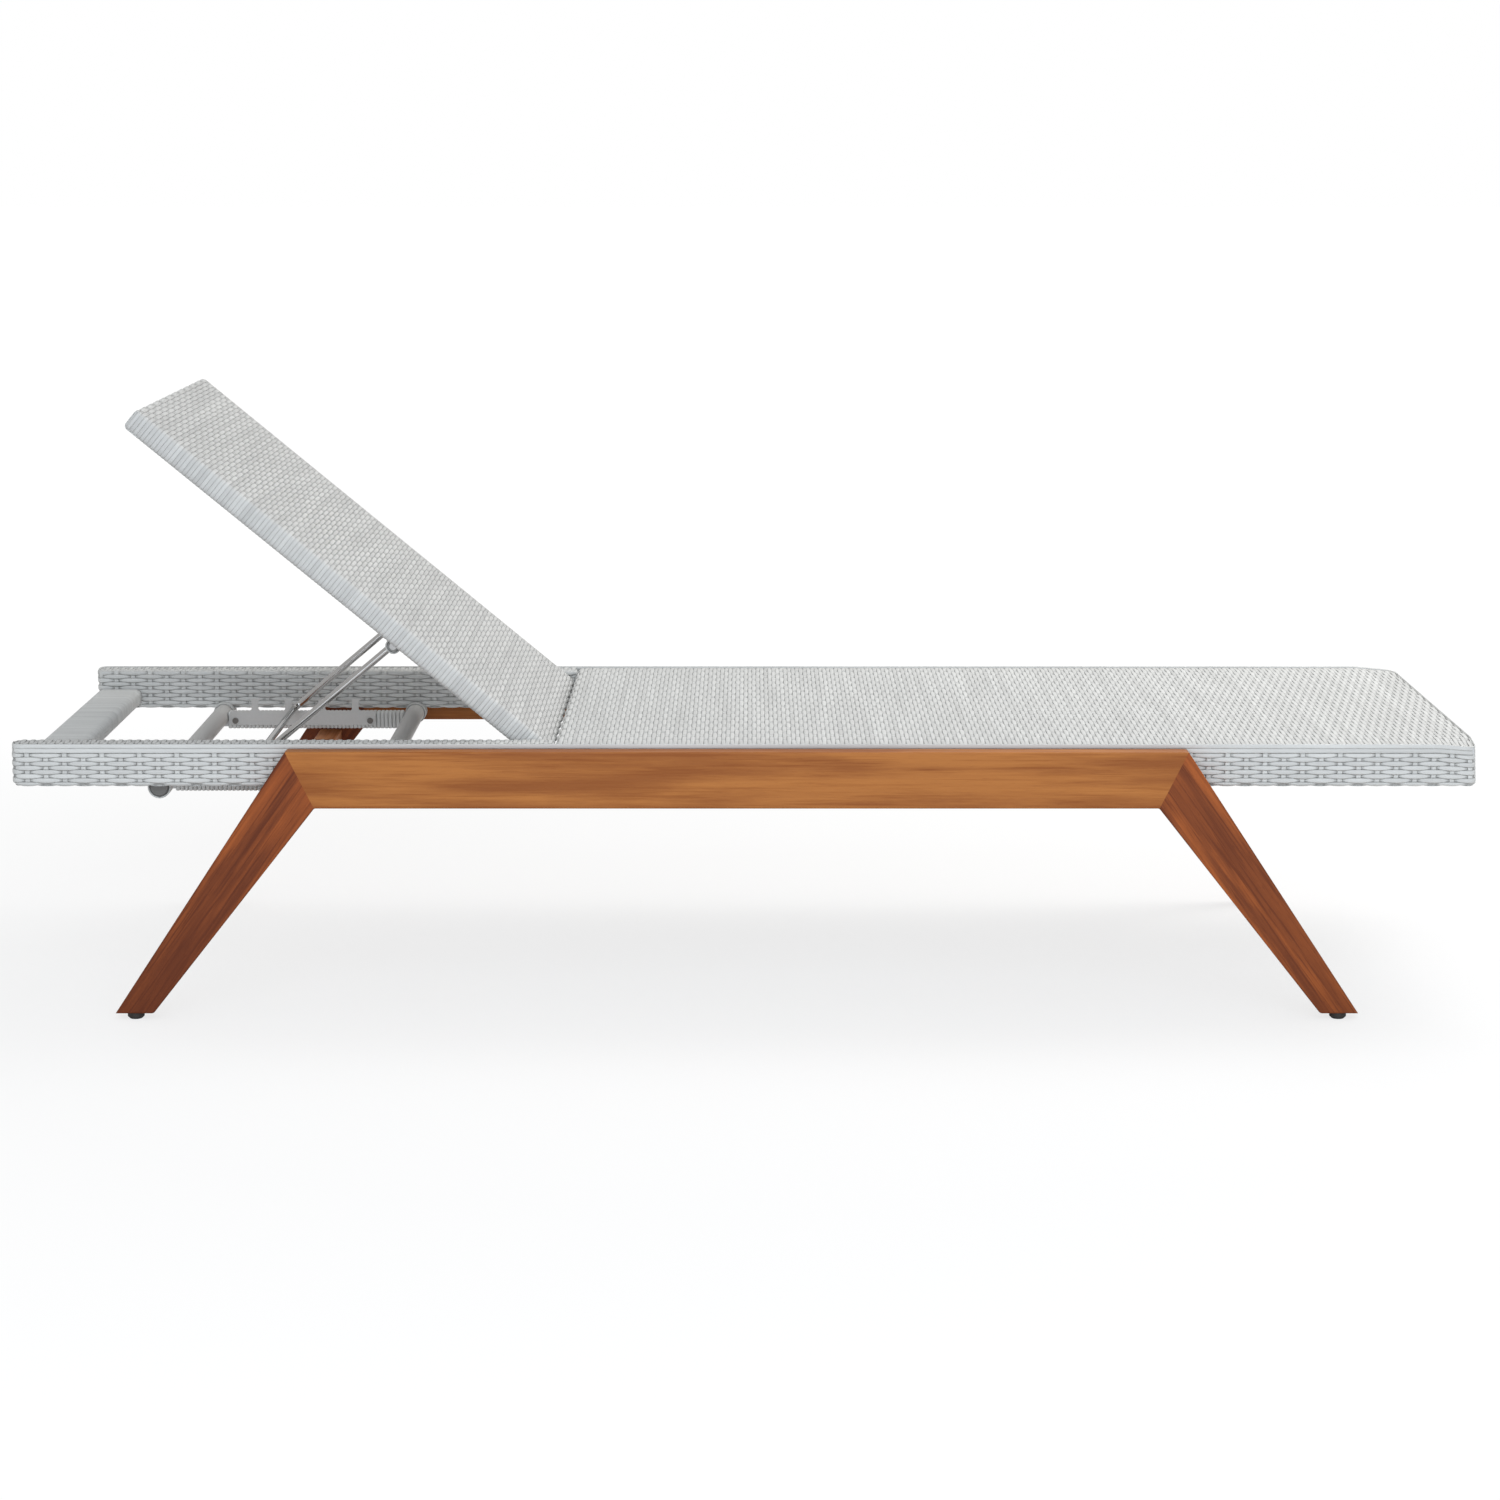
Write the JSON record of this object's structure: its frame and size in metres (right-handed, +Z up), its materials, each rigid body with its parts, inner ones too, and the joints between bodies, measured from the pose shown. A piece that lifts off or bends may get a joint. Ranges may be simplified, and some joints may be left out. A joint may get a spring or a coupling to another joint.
{
  "type": "sun lounger",
  "caption": "Sun lounger with a woven wicker frame on a splayed teak base and an adjustable backrest that is propped in a hooked rack.",
  "frame": {"origin": "on the ground, at the middle of the overall box", "axes": "+X along the lounger to its foot end, +Y to the left side of a person lying on it, +Z up"},
  "size_m": [2, 0.716, 0.8292],
  "materials": {
    "wicker": "flat woven strands, light grey",
    "frame_aluminium": "mill finish",
    "teak": "oiled",
    "dowel_wood": "plain",
    "coated_steel": "satin grey coating",
    "bright_steel": "fine brushed",
    "nylon": "smooth",
    "glide_plastic": "smooth, dark"
  },
  "bodies": {
    "base": {"foot_end_tube": "frame_aluminium", "foot_end_wrap": "wicker", "frame_bolts": "bright_steel", "glide_foot_left": "glide_plastic", "glide_foot_right": "glide_plastic", "glide_head_left": "glide_plastic", "glide_head_right": "glide_plastic", "head_bar_tube": "frame_aluminium", "head_bar_wrap": "wicker", "hinge_pin_left": "bright_steel", "hinge_pin_right": "bright_steel", "leg_foot_left": "teak", "leg_foot_right": "teak", "leg_head_left": "teak", "leg_head_right": "teak", "mitre_dowels": "dowel_wood", "rack_bar_tube_left": "frame_aluminium", "rack_bar_tube_right": "frame_aluminium", "rack_bar_wrap_left": "wicker", "rack_bar_wrap_right": "wicker", "rack_plate_left": "coated_steel", "rack_plate_right": "coated_steel", "rack_plugs": "nylon", "rack_screws": "bright_steel", "rack_tube_foot": "coated_steel", "rack_tube_head": "coated_steel", "seat_crossbar_1": "frame_aluminium", "seat_crossbar_2": "frame_aluminium", "seat_head_tube": "frame_aluminium", "seat_head_wrap": "wicker", "seat_sheet": "wicker", "side_tube_left": "frame_aluminium", "side_tube_right": "frame_aluminium", "side_wrap_left": "wicker", "side_wrap_right": "wicker", "stretcher_dowels": "dowel_wood", "stretcher_foot": "teak", "stretcher_head": "teak", "wood_rail_left": "teak", "wood_rail_right": "teak"},
    "backrest": {"back_crossbar_1": "frame_aluminium", "back_crossbar_2": "frame_aluminium", "back_edge_tube_left": "frame_aluminium", "back_edge_tube_right": "frame_aluminium", "back_edge_wrap_left": "wicker", "back_edge_wrap_right": "wicker", "back_head_tube": "frame_aluminium", "back_head_wrap": "wicker", "back_sheet": "wicker", "back_tail_tube": "frame_aluminium", "back_tail_wrap": "wicker", "hinge_bush_left": "nylon", "hinge_bush_right": "nylon", "prop_lug_left": "wicker", "prop_lug_right": "wicker"},
    "prop": {"prop_arm_left": "bright_steel", "prop_arm_right": "bright_steel", "prop_bar": "bright_steel"}
  },
  "joints": [
    {"name": "backrest_hinge", "type": "hinge", "parent": "base", "child": "backrest", "pos_m": [-0.284, 0, 0.364], "axis": [0, 1, 0], "range_deg": [-39.4, 16.7]},
    {"name": "prop_swing", "type": "hinge", "parent": "backrest", "child": "prop", "pos_m": [-0.48367, 0, 0.50303], "axis": [0, 1, 0], "range_deg": [-33.4, 78.8]}
  ],
  "couplings": [
    {"joint": "prop_swing", "follows": "backrest_hinge", "ratio": -2}
  ]
}
